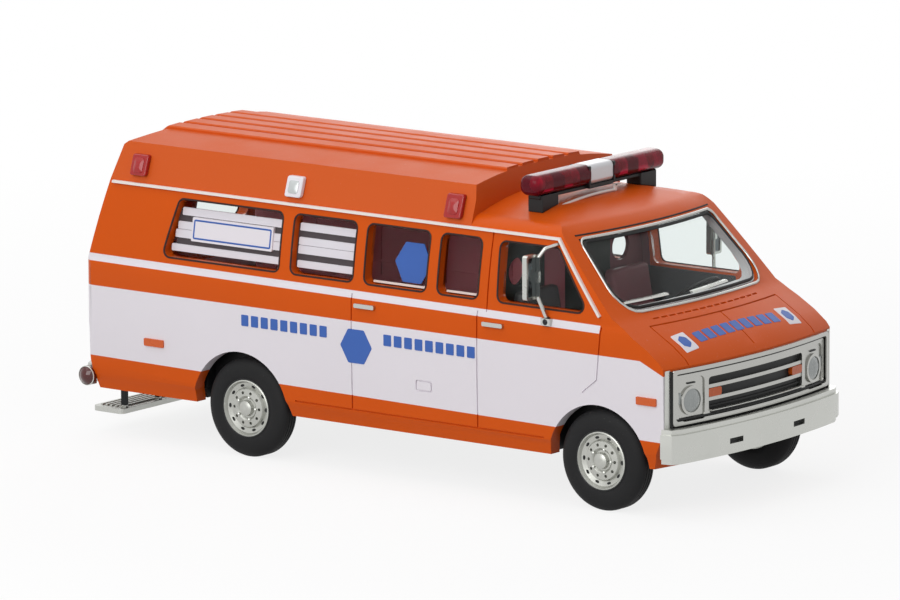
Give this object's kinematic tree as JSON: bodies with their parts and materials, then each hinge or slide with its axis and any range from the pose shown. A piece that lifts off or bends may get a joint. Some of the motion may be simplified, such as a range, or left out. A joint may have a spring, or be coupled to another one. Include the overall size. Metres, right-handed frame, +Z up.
{
  "type": "scale model of a raised-roof van ambulance",
  "caption": "Small scale model of a long-wheelbase van ambulance with a ribbed raised roof, a light bar, clear windows and wheels that roll.",
  "frame": {"origin": "on the floor under the middle of the model's length", "axes": "+X forward, +Y to the vehicle's left, +Z up"},
  "size_m": [0.0646, 0.0272, 0.0265],
  "materials": {
    "orange_shell": "orange moulded shell with printed white bands",
    "white_print": "white printed edge",
    "white_plastic": "silvery white housing",
    "clear_glazing": "clear moulded glazing",
    "brown_interior": "mauve-brown moulded interior",
    "black_plastic": "black moulded plastic",
    "chrome_plating": "bright vacuum plating",
    "bare_metal": "silver paint or bare steel",
    "lamp_lens": "clear fluted lens over a silver reflector",
    "amber_lens": "amber lens",
    "red_lens": "red lens",
    "red_dome": "transparent dark red dome",
    "tyre_rubber": "black tyre"
  },
  "bodies": {
    "root": {"body_shell": "orange_shell", "raised_roof": "orange_shell", "glass_right": "clear_glazing", "glass_left": "clear_glazing", "windscreen": "clear_glazing", "glass_rear": "clear_glazing", "cabin_floor": "brown_interior", "partition": "brown_interior", "seat_right": "brown_interior", "seat_left": "brown_interior", "dashboard": "black_plastic", "steering_wheel": "black_plastic", "chassis": "black_plastic", "exhaust": "bare_metal", "grille_frame": "chrome_plating", "grille_insert": "black_plastic", "headlamps": "lamp_lens", "turn_signals": "amber_lens", "front_bumper": "chrome_plating", "rear_bumper": "chrome_plating", "tail_lamps": "red_lens", "rear_step": "bare_metal", "roof_markers": "red_lens", "scene_lamps": "lamp_lens", "side_markers": "amber_lens", "drip_rail_right": "white_print", "drip_rail_left": "white_print", "door_handles": "chrome_plating", "mirror_right": "chrome_plating", "mirror_left": "chrome_plating", "wipers": "bare_metal", "light_bar_base": "black_plastic", "light_dome_right": "red_dome", "light_dome_left": "red_dome", "siren_speaker": "white_plastic"},
    "front_wheels": {"axle_front": "bare_metal", "wheel_front_right": "chrome_plating", "tyre_front_right": "tyre_rubber", "wheel_front_left": "chrome_plating", "tyre_front_left": "tyre_rubber"},
    "rear_wheels": {"axle_rear": "bare_metal", "wheel_rear_right": "chrome_plating", "tyre_rear_right": "tyre_rubber", "wheel_rear_left": "chrome_plating", "tyre_rear_left": "tyre_rubber"}
  },
  "joints": [
    {"name": "front_axle_spin", "type": "hinge", "parent": "root", "child": "front_wheels", "pos_m": [0.0236, 0, 0.0042], "axis": [0, 1, 0], "continuous": true},
    {"name": "rear_axle_spin", "type": "hinge", "parent": "root", "child": "rear_wheels", "pos_m": [-0.0135, 0, 0.0042], "axis": [0, 1, 0], "continuous": true}
  ]
}
